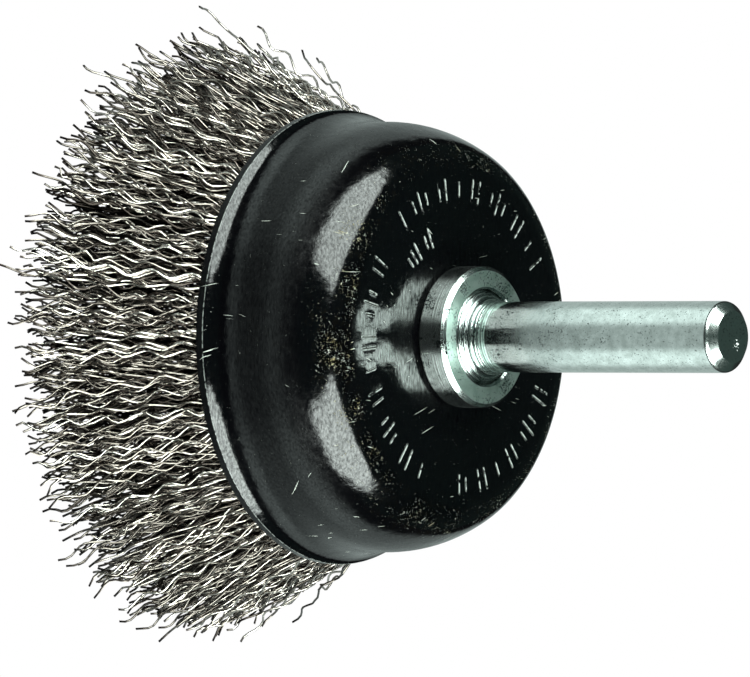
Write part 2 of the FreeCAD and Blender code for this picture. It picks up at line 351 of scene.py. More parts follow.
def makeBareSteel(s=bareSteel):
    # cold-rolled strip, pressed and left bare: grey, oily, with darker clouds
    mat, tree, place = startMaterial("coldRolledSteel")
    cloud = noise(tree, place, s["cloudScale"], detail=7.0, rough=0.7)
    shade = remap(tree, cloud, *s["cloudLevels"])
    colour = blend(tree, shade, linear(s["light"]), linear(s["dark"]))
    rough = remap(tree, cloud, 0.0, 1.0, *s["roughness"])
    finishMaterial(tree, add(tree, "ShaderNodeBsdfPrincipled", {
        "Base Color": colour, "Metallic": 1.0, "Roughness": rough}))
    return mat


wireSteel = {
    "shades": ((0.0, "#080706"), (0.35, "#3a3430"), (0.7, "#a89f97"), (1.0, "#fbf4ec")),
    "roughness": (0.12, 0.34),
    "drawScale": 1.3, "drawShade": 0.5,          # lighter and darker along a wire, from drawing
}


def makeWireSteel(s=wireSteel):
    # hard-drawn steel wire, crimped: bright with a slightly warm cast, each wire a
    # little lighter or darker than the next, with painted shade on the inner rows and at each tip
    mat, tree, place = startMaterial("crimpedSteelWire")
    own = add(tree, "ShaderNodeAttribute", attribute_name="wireShade").outputs["Fac"]
    draw = noise(tree, place, s["drawScale"], detail=4.0)
    shade = calc(tree, "SUBTRACT", draw, 0.5)
    shade = calc(tree, "MULTIPLY_ADD", shade, s["drawShade"], own)
    ramp = add(tree, "ShaderNodeValToRGB", [shade])
    stops = ramp.color_ramp.elements
    (low, darkest), *between, (high, lightest) = s["shades"]
    stops[0].position, stops[0].color = low, linear(darkest)
    stops[1].position, stops[1].color = high, linear(lightest)
    for share, code in between:
        stops.new(share).color = linear(code)
    rough = remap(tree, draw, 0.0, 1.0, *s["roughness"])
    finishMaterial(tree, add(tree, "ShaderNodeBsdfPrincipled", {
        "Base Color": ramp.outputs["Color"], "Metallic": 1.0, "Roughness": rough}))
    return mat


blackEnamel = makeEnamel()
zincPlate = makeZinc()
coldRolledSteel = makeBareSteel()
crimpedSteelWire = makeWireSteel()
print("materials made")


def rounded(corners, step=0.35):
    # outline points from corners (r, z) or (r, z, radius), the loop closed
    out = []
    count = len(corners)
    for i, corner in enumerate(corners):
        here = Vector(corner[:2])
        radius = corner[2] if len(corner) > 2 else 0
        if not radius:
            out.append(tuple(here))
            continue
        before = (Vector(corners[i - 1][:2]) - here).normalized()
        after = (Vector(corners[(i + 1) % count][:2]) - here).normalized()
        half = before.angle(after) / 2
        middle = here + (before + after).normalized() * (radius / math.sin(half))
        start = here + before * (radius / math.tan(half)) - middle
        turn = math.pi - 2 * half
        way = 1 if start.x * (here - middle).y - start.y * (here - middle).x > 0 else -1
        pieces = max(3, math.ceil(radius * turn / step))
        for k in range(pieces + 1):
            angle = way * turn * k / pieces
            c, s = math.cos(angle), math.sin(angle)
            out.append((middle.x + c * start.x - s * start.y, middle.y + s * start.x + c * start.y))
    return out


def held(outline, closed, near=0.04, longest=0.5):
    # a point close to each end of a long line, so that shading stays even between bends
    out = []
    for i, here in enumerate(outline):
        out.append(here)
        if i == len(outline) - 1 and not closed:
            break
        there = outline[(i + 1) % len(outline)]
        span = math.dist(here, there)
        if span > longest:
            for share in (near / span, 1 - near / span):
                out.append(tuple(a + (b - a) * share for a, b in zip(here, there)))
    return out


def lathe(name, outline, steps, closed=True, shape=None):
    # spins an outline of (r, z) round the axis; shape may lower a point and give its share of wear and
    # painted highlight
    outline = held(outline, closed)
    turns = steps if isinstance(steps, list) else [2 * math.pi * k / steps for k in range(steps)]
    verts, rows, wornAndHighlit = [], [], []
    for r, z in outline:
        if r < 1e-6:
            rows.append([len(verts)] * len(turns))
            verts.append((0, 0, z * mm))
            wornAndHighlit.append(0.0)
            continue
        row = []
        for turn in turns:
            high, wearAndHighlight = shape(r, turn, z) if shape else (z, 0.0)
            row.append(len(verts))
            verts.append((r * math.cos(turn) * mm, r * math.sin(turn) * mm, high * mm))
            wornAndHighlit.append(wearAndHighlight)
        rows.append(row)
    faces = []
    pairs = list(zip(rows, rows[1:])) + ([(rows[-1], rows[0])] if closed else [])
    for low, high in pairs:
        for k in range(len(turns)):
            n = (k + 1) % len(turns)
            corners = [low[k], low[n], high[n], high[k]]
            face = [c for i, c in enumerate(corners) if c != corners[i - 1]]
            if len(face) > 2:
                faces.append(face)
    mesh = bpy.data.meshes.new(name)
    mesh.from_pydata(verts, [], faces)
    mesh.attributes.new("wornAndHighlit", "FLOAT", "POINT").data.foreach_set("value", wornAndHighlit)
    mesh.shade_smooth()
    return newObject(name, mesh)


def turnOut(obj):
    # faces point outwards
    bm = bmesh.new()
    bm.from_mesh(obj.data)
    bmesh.ops.recalc_face_normals(bm, faces=bm.faces)
    bm.to_mesh(obj.data)
    bm.free()


def finish(obj, material, node):
    turnOut(obj)
    obj.data.materials.append(material)
    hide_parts(node)
    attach(obj, "root")


cupShape = {
    "sheet": 0.7, "holeRadius": 4.05,
    "rimOut": 1.1,                                     # how far the rim stands out from the wall
    "flareTurn": 22, "lipBend": 1.92, "lipReach": 1.23,    # a long bend turns so far, a tight one the rest
    "shoulder": 3.4, "shoulderTurn": 61, "upperWall": 11.9,
    "lipRound": 0.14, "lipStep": 0.14, "holeRound": 0.1,
    "markRings": ((12.55, 1.75), (9.2, 1.6)), "markCount": 84,       # radius and length of the strokes
    "marksWithin": 13.9, "ringsMeet": 10.8, "marksFrom": 6.6, "topLayer": 0.01,
    "rowsBefore": 0.35, "rowsAfter": 0.3, "rowSteps": 20,            # the mesh is finer along the strokes
    "markLengths": (1.0, 0.55, 0, 1.0, 1.0, 0, 0.6, 0, 1.0, 0.8, 0, 0.5),   # as shares, 0 for none
    "markGroup": 28, "markBare": 4,
    "innerFirst": 48, "innerLengths": (1.0, 0.6, 0, 1.0, 0.8, 0.5),
    "groove": 0.085, "grooveDepth": 0.12, "grooveSteep": 1.5, "lipWearAndHighlightWidth": 0.022,
    "lipAt": 0.12, "lipWidth": 0.03, "lipHeight": 0.015,
    "across": (-0.20, -0.125, -0.085, -0.04, 0.04, 0.085, 0.125, 0.20),    # points of a stroke's section
    "dish": 0.05, "dishRadius": 12,                    # the top sinks a little towards its middle
    "rimWearAndHighlight": 0.33, "rimCorner": (0.003, 0.035),      # how far inside the rim its corner is worn and painted with a highlight
}


def arcPoints(middle, radius, first, last, step=0.45):
    # points (r, z) along an arc between two angles, in degrees from the r axis
    pieces = max(2, math.ceil(radius * math.radians(abs(last - first)) / step))
    angles = [math.radians(first + (last - first) * k / pieces) for k in range(pieces + 1)]
    return [(middle[0] + radius * math.cos(a), middle[1] + radius * math.sin(a)) for a in angles]


def cupSkin(inset, s=cupShape):
    # from the shoulder down to the rim, moved into the sheet by inset
    low = 90 - s["shoulderTurn"]
    wall = rimRadius - s["rimOut"]
    apart = s["upperWall"] - s["shoulder"]
    upper = (wall - s["upperWall"], topZ - s["shoulder"] - apart * math.sin(math.radians(low)))
    bend = (upper[0] + apart * math.cos(math.radians(low)), topZ - s["shoulder"])
    first = math.radians(s["flareTurn"])
    tight = (rimRadius + s["lipReach"],
             rimZ + math.sqrt((s["lipBend"] + s["sheet"]) ** 2 - s["lipReach"] ** 2))
    meet = (tight[0] - s["lipBend"] * math.cos(first), tight[1] - s["lipBend"] * math.sin(first))
    longBend = (meet[0] - wall) / (1 - math.cos(first))
    slow = (wall + longBend, meet[1] + longBend * math.sin(first))
    lip = math.degrees(math.acos(s["lipReach"] / (s["lipBend"] + inset)))
    shoulder = arcPoints(bend, s["shoulder"] - inset, 90, low)
    upperWall = arcPoints(upper, s["upperWall"] - inset, low, 0)
    flare = arcPoints(slow, longBend + inset, 180, 180 + s["flareTurn"])
    flare += arcPoints(tight, s["lipBend"] + inset, 180 + s["flareTurn"], 180 + lip, s["lipStep"])[1:]
    return shoulder + upperWall[1:] + flare


def markShare(number, ring, s=cupShape):
    # length of this stroke as a share of the longest, 0 where the ring has a gap
    if ring:
        at = number - s["innerFirst"]
        return s["innerLengths"][at] if 0 <= at < len(s["innerLengths"]) else 0
    if number % s["markGroup"] >= s["markGroup"] - s["markBare"]:
        return 0
    return s["markLengths"][number % len(s["markLengths"])]


def stamped(r, turn, z, s=cupShape):
    # plain radial strokes pressed into the top, with raised lips that are worn and painted with a
    # highlight; the rim's corner is worn and painted with a highlight too
    if s["rimCorner"][0] < rimRadius - r < s["rimCorner"][1] and z > rimZ + s["sheet"]:
        return z, s["rimWearAndHighlight"]
    if z < topZ - s["topLayer"] or r > s["marksWithin"]:
        return z, 0.0
    z -= s["dish"] * max(0.0, 1 - r / s["dishRadius"])
    number = round(turn / (2 * math.pi) * s["markCount"])
    ring = 0 if r > s["ringsMeet"] else 1
    radius, length = s["markRings"][ring]
    half = markShare(number, ring) * length / 2
    if not half:
        return z, 0.0
    aside = (turn - 2 * math.pi * number / s["markCount"]) * r
    beyond = max(abs(r - radius) - half, 0)
    gap = math.hypot(aside, beyond)
    depth = s["grooveDepth"] * min(1.0, max(0.0, 1 - gap / s["groove"]) * s["grooveSteep"])
    lip = math.exp(-((gap - s["lipAt"]) / s["lipWidth"]) ** 2)
    wearAndHighlight = math.exp(-((gap - s["groove"]) / s["lipWearAndHighlightWidth"]) ** 2)
    return z - depth + s["lipHeight"] * lip, wearAndHighlight


def makeCup(s=cupShape):
    outside, inside = cupSkin(0), cupSkin(s["sheet"])
    rings, steps = [(s["marksFrom"], topZ)], s["rowSteps"]
    for radius, length in reversed(s["markRings"]):
        first, last = radius - length / 2 - s["rowsBefore"], radius + length / 2 + s["rowsAfter"]
        rings += [(first + (last - first) * k / steps, topZ) for k in range(steps + 1)]
    outline = rounded(
        [(s["holeRadius"], topZ - s["sheet"]), (s["holeRadius"], topZ, s["holeRound"])] + rings
        + outside[:-1] + [(*outside[-1], s["lipRound"]), (*inside[-1], s["lipRound"])] + inside[-2::-1])
    pitch = 2 * math.pi / s["markCount"]
    turns = []
    for k in range(s["markCount"]):
        stroke = markShare(k, 0) or markShare(k, 1)
        points = s["across"] if stroke else (s["across"][0], s["across"][-1])
        turns += [pitch * k + aside / s["markRings"][0][0] for aside in points]
    cup = lathe("cupShell", outline, turns, shape=stamped)
    finish(cup, blackEnamel, "cup")


collarShape = {
    "bore": 4.05, "footChamfer": 0.34, "faceChamfer": 0.35, "boreChamfer": 0.22,
    "fineRound": 0.06, "edgeRound": 0.08, "faceRound": 0.12, "steps": 192,
}


def makeCollar(s=collarShape):
    outline = rounded([
        (s["bore"], topZ),
        (collarRadius - s["footChamfer"], topZ, s["fineRound"]),
        (collarRadius, topZ + s["footChamfer"], s["edgeRound"]),
        (collarRadius, collarTopZ - s["faceChamfer"], s["faceRound"]),
        (collarRadius - s["faceChamfer"], collarTopZ, s["faceRound"]),
        (s["bore"] + s["boreChamfer"], collarTopZ, s["edgeRound"]),
        (s["bore"], collarTopZ - s["boreChamfer"], s["fineRound"]),
    ], step=0.05)
    collar = lathe("collarBush", outline, s["steps"])
    finish(collar, zincPlate, "collar")


pin = {
    "radius": 3.0, "neck": 3.95, "neckBand": 0.2, "recess": 0.4, "coneHeight": 2.1, "hollow": 0.24,
    "stepAt": 0.42, "stepDepth": 0.13, "groove": 0.10, "grooveWidth": 0.05,    # place and width as shares
    "toolPitch": 0.30, "toolHeight": 0.06, "coneRows": 84,
    "endChamfer": 0.86, "endHeight": 0.72, "endRound": 0.2, "sideRound": 0.5,
    "headHeight": 1.4, "headEdge": 0.7, "headCrown": 0.45,     # the crown is a share of the head's radius
    "headRounds": (0.1, 0.3, 2.0), "steps": 144,
}


def coneRadius(share, s=pin):
    # hollow cone from neck to shank, in two turned passes with a groove between
    r = s["neck"] + (s["radius"] - s["neck"]) * share
    r -= s["hollow"] * math.sin(math.pi * share)
    past = (share - s["stepAt"]) / s["grooveWidth"]
    r -= s["groove"] * math.exp(-past * past)
    r += s["stepDepth"] * (1 - share) if share < s["stepAt"] else 0
    ridge = abs(((share * s["coneHeight"] / s["toolPitch"]) % 1) - 0.5) * 2
    return r - s["toolHeight"] * ridge * (1 - share)


def makeShank(s=pin):
    coneZ = collarTopZ - s["recess"]
    coneTop = coneZ + s["coneHeight"]
    headZ = rivetZ + s["headHeight"]
    under, edge, crown = s["headRounds"]
    top = rounded([
        (0, shankTopZ),
        (s["radius"] - s["endChamfer"], shankTopZ, s["endRound"]),
        (s["radius"], shankTopZ - s["endHeight"], s["sideRound"]),
        (s["radius"], coneTop),
    ], step=0.05)
    rows = s["coneRows"]
    cone = [(coneRadius(1 - k / rows), coneTop - s["coneHeight"] * k / rows) for k in range(1, rows + 1)]
    foot = rounded([
        (s["neck"], coneZ - s["neckBand"]),
        (s["neck"], headZ),
        (rivetRadius, headZ, under),
        (rivetRadius, headZ - s["headEdge"], edge),
        (rivetRadius * s["headCrown"], rivetZ, crown),
        (0, rivetZ),
    ], step=0.1)
    shank = lathe("shankPin", top + cone + foot, s["steps"], closed=False)
    finish(shank, zincPlate, "shank")


makeCup()
makeCollar()
makeShank()
for node in ("inner_plate", "retaining_ring"):
    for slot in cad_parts[node].material_slots:
        slot.material = coldRolledSteel
print("cup, collar and shank made")


wires = {
    "count": 600, "diameter": 0.225, "sides": 3,     # the count is for a ring that doesn't say
    "points": 40, "freeShare": 0.9,              # most points lie in the free, crimped part
    "crimpLength": 3.6, "crimpUneven": 0.08, "crimpDepth": 0.35,
    "nested": 0.45,                              # share of wires that keep their clump's wave
    "crimpSpread": 0.78,                         # of half a turn, how far the waves turn from sideways
    "packedCrimp": 0.3, "packedTo": 0.2,         # the wave is lower where the wires are packed
    "tipOuter": 25.6, "tipInner": 15.6, "tipZ": 0.35, "leastZ": 0.2,
    "mouthOuter": 17.25, "mouthInner": 12.1, "mouthAboveRim": 3.3,
    "lowAt": (0.4, 0.42), "rimAt": (0.16, 0.4),  # corners of the guides between tip and mouth
    "guideSteps": 16,
    "foldReach": 1.9, "foldLegs": 2.6, "foldBend": 0.2, "foldTop": 0.15,   # beside, below and over the ring
    "clumpSize": 1.6, "clumpPull": 0.27, "clumpPower": 1.4,
    "wander": 1.75, "wanderPower": 1.15,         # of a tip from its place
    "bow": 0.8,                                  # of the middle from the line
    "sweep": 0.75, "sweepSize": 5.0, "sweepWay": (2.0, 2.0, 0.4),   # slow waves that neighbours share
    "unevenTrim": 0.07, "trimPower": 1.6,        # share of the length that a short wire lacks
    # each wire's own tone, and the painted shade at its tip over this share of its length
    "ownShade": (0.38, 0.98), "tipPaintedShade": -0.6, "tipLength": 0.035,
    "innerPaintedShade": -0.55, "deepRows": (0.6, 0.96),     # painted shade: how much darker the inner wires are
    "seed": 7,
}


def guide(name, points, s=wires):
    # a smooth line in the XZ plane, from tip to fold, that the rows are spaced between
    curve = bpy.data.curves.new(name, "CURVE")
    curve.dimensions = "3D"
    curve.resolution_u = s["guideSteps"]
    spline = curve.splines.new("NURBS")
    spline.points.add(len(points) - 1)
    for at, (r, z) in zip(spline.points, points):
        at.co = (r * mm, 0, z * mm, 1)
    spline.order_u = 3
    spline.use_endpoint_u = True
    return newObject(name, curve)


def wireTree(length, freeAlong, s=wires):
    # a ring of crimped wires between two guides
    tree = bpy.data.node_groups.new("crimpedWireRing", "GeometryNodeTree")
    face = tree.interface
    face.new_socket("Geometry", in_out="OUTPUT", socket_type="NodeSocketGeometry")
    for name, kind, value in (
        ("Inner guide", "Object", None), ("Outer guide", "Object", None),
        ("Wires", "Int", s["count"]), ("Row from", "Float", 0.0), ("Row to", "Float", 1.0),
        ("Diameter", "Float", s["diameter"] * mm), ("Sides", "Int", s["sides"]),
        ("Crimp depth", "Float", s["crimpDepth"] * mm), ("Wander", "Float", s["wander"] * mm),
        ("Uneven trim", "Float", s["unevenTrim"]), ("Seed", "Int", s["seed"]),
        ("Material", "Material", None),
    ):
        socket = face.new_socket(name, in_out="INPUT", socket_type="NodeSocket" + kind)
        if value is not None:
            socket.default_value = value
    given = add(tree, "NodeGroupInput").outputs
    index = add(tree, "GeometryNodeInputIndex")

    # one point a wire, with what is its own
    points = add(tree, "GeometryNodePoints", {"Count": given["Wires"]})
    share = calc(tree, "DIVIDE", index, given["Wires"])
    nudge = add(tree, "FunctionNodeRandomValue", {"ID": index, "Seed": given["Seed"]}, data_type="FLOAT")
    nudge = calc(tree, "DIVIDE", nudge, given["Wires"])
    share = calc(tree, "ADD", share, nudge)
    turn = calc(tree, "MULTIPLY", share, 2 * math.pi)
    seed = add(tree, "FunctionNodeIntegerMath", [given["Seed"], 101], operation="ADD")
    row = add(tree, "FunctionNodeRandomValue", {
        "ID": index, "Seed": seed, "Min": given["Row from"], "Max": given["Row to"]}, data_type="FLOAT")
    own = [("wireTurn", turn, "FLOAT"), ("wireRow", row, "FLOAT")]
    for name, offset in (("wireChance", 202), ("wireLean", 303), ("wireBow", 404)):
        seed = add(tree, "FunctionNodeIntegerMath", [given["Seed"], offset], operation="ADD")
        value = add(tree, "FunctionNodeRandomValue", {
            "ID": index, "Seed": seed, "Min": (0, 0, 0), "Max": (1, 1, 1)}, data_type="FLOAT_VECTOR")
        own.append((name, value, "FLOAT_VECTOR"))
    for name, value, kind in own:
        points = add(tree, "GeometryNodeStoreNamedAttribute", {
            "Geometry": points, "Name": name, "Value": value}, data_type=kind, domain="POINT")

    line = add(tree, "GeometryNodeCurvePrimitiveLine")
    line = add(tree, "GeometryNodeResampleCurve", {"Curve": line, "Count": s["points"]})
    strands = add(tree, "GeometryNodeInstanceOnPoints", {"Points": points, "Instance": line})
    strands = add(tree, "GeometryNodeRealizeInstances", [strands])
    turn, row, chance, lean, bow = (
        add(tree, "GeometryNodeInputNamedAttribute", {"Name": name}, data_type=kind)
        for name, value, kind in own)
    chance = add(tree, "ShaderNodeSeparateXYZ", [chance]).outputs
    leanParts = add(tree, "ShaderNodeSeparateXYZ", [lean]).outputs

    # how far along the wire, 0 at the tip and 1 at the fold
    along = add(tree, "GeometryNodeSplineParameter").outputs["Factor"]
    freePart = remap(tree, along, 0.0, s["freeShare"], toHigh=freeAlong)
    packed = remap(tree, along, s["freeShare"], 1.0, 0.0, 1 - freeAlong)
    along = calc(tree, "ADD", freePart, packed)
    short = calc(tree, "POWER", chance["X"], s["trimPower"])
    cut = calc(tree, "MULTIPLY", short, given["Uneven trim"])
    left = calc(tree, "SUBTRACT", 1.0, cut)
    along = calc(tree, "MULTIPLY_ADD", along, left, cut)

    # the wire's middle line, between the guides
    lines = []
    for name in ("Inner guide", "Outer guide"):
        shape = add(tree, "GeometryNodeObjectInfo", {"Object": given[name]}).outputs["Geometry"]
        at = add(tree, "GeometryNodeSampleCurve", {"Curves": shape, "Factor": along}, mode="FACTOR")
        tip = add(tree, "GeometryNodeSampleCurve", {"Curves": shape, "Factor": 0.0}, mode="FACTOR")
        lines.append((at.outputs["Position"], tip.outputs["Position"]))
    place = blend(tree, row, lines[0][0], lines[1][0], "VECTOR")
    tip = blend(tree, row, lines[0][1], lines[1][1], "VECTOR")
    place, tip = (
        add(tree, "ShaderNodeVectorRotate", {"Vector": at, "Angle": turn}, rotation_type="Z_AXIS")
        for at in (place, tip))
    loose = remap(tree, along, freeAlong, 0.0)

    # each wire leans its own way and bows in the middle, more so towards its tip
    lean = vectors(tree, "SUBTRACT", lean, (0.5, 0.5, 0.5))
    lean = vectors(tree, "MULTIPLY", lean, (2.0, 2.0, 0.0))
    leaning = calc(tree, "POWER", loose, s["wanderPower"])
    leaning = calc(tree, "MULTIPLY", leaning, given["Wander"])
    lean = vectors(tree, "SCALE", lean, leaning)
    place = vectors(tree, "ADD", place, lean)
    tip = vectors(tree, "ADD", tip, lean)
    bow = vectors(tree, "SUBTRACT", bow, (0.5, 0.5, 0.5))
    bow = vectors(tree, "MULTIPLY", bow, (2.0, 2.0, 0.0))
    hump = calc(tree, "MULTIPLY", loose, math.pi)
    hump = calc(tree, "SINE", hump)
    hump = calc(tree, "MULTIPLY", hump, loose)
    hump = calc(tree, "MULTIPLY", hump, s["bow"] * mm)
    bow = vectors(tree, "SCALE", bow, hump)
    place = vectors(tree, "ADD", place, bow)

    # tips gather a little in clumps
    cell = vectors(tree, "SCALE", tip, 1 / (s["clumpSize"] * mm))
    clump = add(tree, "ShaderNodeTexVoronoi", {"Vector": cell, "Scale": 1.0}, voronoi_dimensions="3D")
    pull = vectors(tree, "SCALE", clump.outputs["Position"], s["clumpSize"] * mm)
    pull = vectors(tree, "SUBTRACT", pull, tip)
    clumpColour = add(tree, "ShaderNodeSeparateXYZ", [clump.outputs["Color"]]).outputs
    gather = calc(tree, "POWER", loose, s["clumpPower"])
    strength = calc(tree, "MULTIPLY", gather, s["clumpPull"])
    pulled = vectors(tree, "SCALE", pull, strength)
    flat = vectors(tree, "MULTIPLY", pulled, (1, 1, 0))
    place = vectors(tree, "ADD", place, flat)

    # slow sweeps that neighbours share
    coarse = noise(tree, place, 1 / (s["sweepSize"] * mm), detail=1.0)
    coarse = vectors(tree, "SUBTRACT", coarse.outputs["Color"], (0.5, 0.5, 0.5))
    sweep = vectors(tree, "MULTIPLY", coarse, s["sweepWay"])
    reach = calc(tree, "MULTIPLY", gather, s["sweep"] * mm)
    swept = vectors(tree, "SCALE", sweep, reach)
    place = vectors(tree, "ADD", place, swept)

    # the crimp, a wave across the wire; some wires lie nested in their neighbours' waves
    nested = calc(tree, "LESS_THAN", leanParts["Z"], s["nested"])
    waves = length / s["crimpLength"] * 2 * math.pi
    stretch = remap(tree, chance["Z"], 0.0, 1.0, *around(waves, waves * s["crimpUneven"]))
    stretch = blend(tree, nested, stretch.outputs[0], waves, "FLOAT")
    phase = blend(tree, nested, chance["Y"], clumpColour["X"], "FLOAT")
    phase = calc(tree, "MULTIPLY", phase, 4 * math.pi)
    wave = calc(tree, "MULTIPLY_ADD", along, stretch, phase)
    wave = calc(tree, "SINE", wave)
    height = remap(tree, loose, 0.0, s["packedTo"], s["packedCrimp"], 1.0)
    height = calc(tree, "MULTIPLY", height, wave)
    height = calc(tree, "MULTIPLY", height, given["Crimp depth"])
    across = blend(tree, nested, chance["X"], clumpColour["Y"], "FLOAT")
    sideways = calc(tree, "ADD", turn, math.pi * (1 - s["crimpSpread"]) / 2)
    across = calc(tree, "MULTIPLY_ADD", across, math.pi * s["crimpSpread"], sideways)
    crimp = [calc(tree, "COSINE", across), calc(tree, "SINE", across), 0.0]
    crimp = add(tree, "ShaderNodeCombineXYZ", crimp)
    crimped = vectors(tree, "SCALE", crimp, height)
    place = vectors(tree, "ADD", place, crimped)
    place = vectors(tree, "MAXIMUM", place, (-1.0, -1.0, s["leastZ"] * mm))   # no lower than the floor

    # lighter and darker wires, painted shade on the inner rows, and painted shade at each tip
    fromTip = add(tree, "GeometryNodeSplineParameter").outputs["Factor"]
    shade = remap(tree, fromTip, 0.0, s["tipLength"], s["tipPaintedShade"], 0.0)
    own = remap(tree, chance["Z"], 0.0, 1.0, *s["ownShade"])
    # painted shade, darker towards the inner rows
    deep = remap(tree, row, *s["deepRows"], s["innerPaintedShade"], 0.0)
    shade = calc(tree, "ADD", shade, own)
    shade = calc(tree, "ADD", shade, deep)
    strands = add(tree, "GeometryNodeStoreNamedAttribute", {
        "Geometry": strands, "Name": "wireShade", "Value": shade}, data_type="FLOAT", domain="POINT")

    strands = add(tree, "GeometryNodeSetPosition", {"Geometry": strands, "Position": place})
    half = calc(tree, "MULTIPLY", given["Diameter"], 0.5)
    section = add(tree, "GeometryNodeCurvePrimitiveCircle", {"Resolution": given["Sides"], "Radius": half})
    solid = add(tree, "GeometryNodeCurveToMesh", {
        "Curve": strands, "Profile Curve": section, "Fill Caps": True})
    solid = add(tree, "GeometryNodeSetShadeSmooth", {"Geometry": solid})
    solid = add(tree, "GeometryNodeRealizeInstances", [solid])
    solid = add(tree, "GeometryNodeSetMaterial", {"Geometry": solid, "Material": given["Material"]})
    add(tree, "NodeGroupOutput", {"Geometry": solid})
    return tree


def grow(name, tree, values):
    # runs the tree with these inputs and keeps the result as a plain mesh
    host = newObject(name + "Host", bpy.data.meshes.new(name + "Host"))
    nodes = host.modifiers.new("wires", "NODES")
    nodes.node_group = tree
    keys = {item.name: item.identifier for item in tree.interface.items_tree if item.in_out == "INPUT"}
    for label, value in values.items():
        nodes[keys[label]] = value
    bpy.context.view_layer.update()
    graph = bpy.context.evaluated_depsgraph_get()
    result = bpy.data.meshes.new_from_object(
        host.evaluated_get(graph), preserve_all_data_layers=True, depsgraph=graph)
    host.modifiers.remove(nodes)
    bpy.data.objects.remove(host)
    result.name = name
    return newObject(name, result)


def guideLine(tipR, mouthR, foldSide, s=wires):
    # corners of a guide: tip, below the rim, rim, mouth, beside the ring, over the ring
    legR = ringRadius + foldSide
    (inwards, height), (outwards, under) = s["lowAt"], s["rimAt"]
    return [
        (tipR, s["tipZ"]), (tipR + (mouthR - tipR) * inwards, rimZ * height),
        (mouthR + (tipR - mouthR) * outwards, rimZ - under), (mouthR, rimZ + s["mouthAboveRim"]),
        (legR, foldZ - s["foldLegs"]), (legR, foldZ - s["foldBend"]), (ringRadius, foldZ + s["foldTop"]),
    ]


wireRings = (    # name, wires, rows from the hollow middle (0) to the wall (1), wander, crimp
    ("wiresOuter", 720, 0.86, 1.0, 1.0, 1.0), ("wiresOuterMiddle", 700, 0.68, 0.88, 1.0, 1.0),
    ("wiresMiddle", 640, 0.46, 0.70, 1.0, 1.0), ("wiresInnerMiddle", 600, 0.22, 0.48, 1.0, 1.0),
    ("wiresInner", 560, 0.0, 0.24, 1.0, 1.0), ("wiresStray", 46, 0.92, 1.1, 2.2, 1.3),
)


def makeWires(s=wires):
    outerLine = guideLine(s["tipOuter"], s["mouthOuter"], s["foldReach"])
    outer = guide("outerGuide", outerLine)
    inner = guide("innerGuide", guideLine(s["tipInner"], s["mouthInner"], -s["foldReach"]))
    spans = [math.dist(a, b) for a, b in zip(outerLine, outerLine[1:])]
    tree = wireTree(sum(spans), sum(spans[:3]) / sum(spans))
    for seed, (name, count, low, high, wander, crimp) in enumerate(wireRings):
        ring = grow(name, tree, {
            "Inner guide": inner, "Outer guide": outer, "Wires": count, "Row from": low, "Row to": high,
            "Wander": wander * s["wander"] * mm, "Crimp depth": crimp * s["crimpDepth"] * mm,
            "Seed": s["seed"] + seed, "Material": crimpedSteelWire})
        print(name, len(ring.data.polygons), "faces")
        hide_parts("wire_fill")
        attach(ring, "root")
    for line in (inner, outer):
        bpy.data.objects.remove(line)


makeWires()
print("wires made")


# Floor, light and camera
studio = {
    "floorRadius": 1.6, "floorSides": 64,              # the studio is in metres
    "board": "#ffffff",                                # what the camera sees of it, a lit white board
    "glowFront": 0.14, "glowSide": 0.36, "glowBack": 0.5,   # its light as the brush sees it, near the brush
    "farFront": 0.50, "farSide": 1.15,                       # and further off
    "glowRise": 0.056, "glowEdge": 0.006,              # where one gives way to the other
    "sideFrom": (0.5, 0.85), "behindFrom": (-0.1, 0.5),      # by a direction's X, either way, and by its Y
    "glowTint": (0.85, 1.0, 0.965, 1.0), "glowNear": 0.085, "glowFar": 0.12, "glowLeast": 0.03,
    "boxTint": (0.90, 1.0, 0.955, 1.0),
    "boxes": (("softboxLeft", -66.5, 9.3, 0.78),       # azimuth, radiance, width
              ("softboxRight", 60.5, 11.6, 0.66)),
    "boxElevation": 28, "boxDistance": 0.62, "boxHeight": 0.59, "boxAim": 0.02,
    "boxEdge": 0.45, "boxMargin": 0.56,                # share that fades, and how far the cloth reaches
    "sky": (0.030, 0.050, 0.044, 1.0),                 # the dim room round them
}


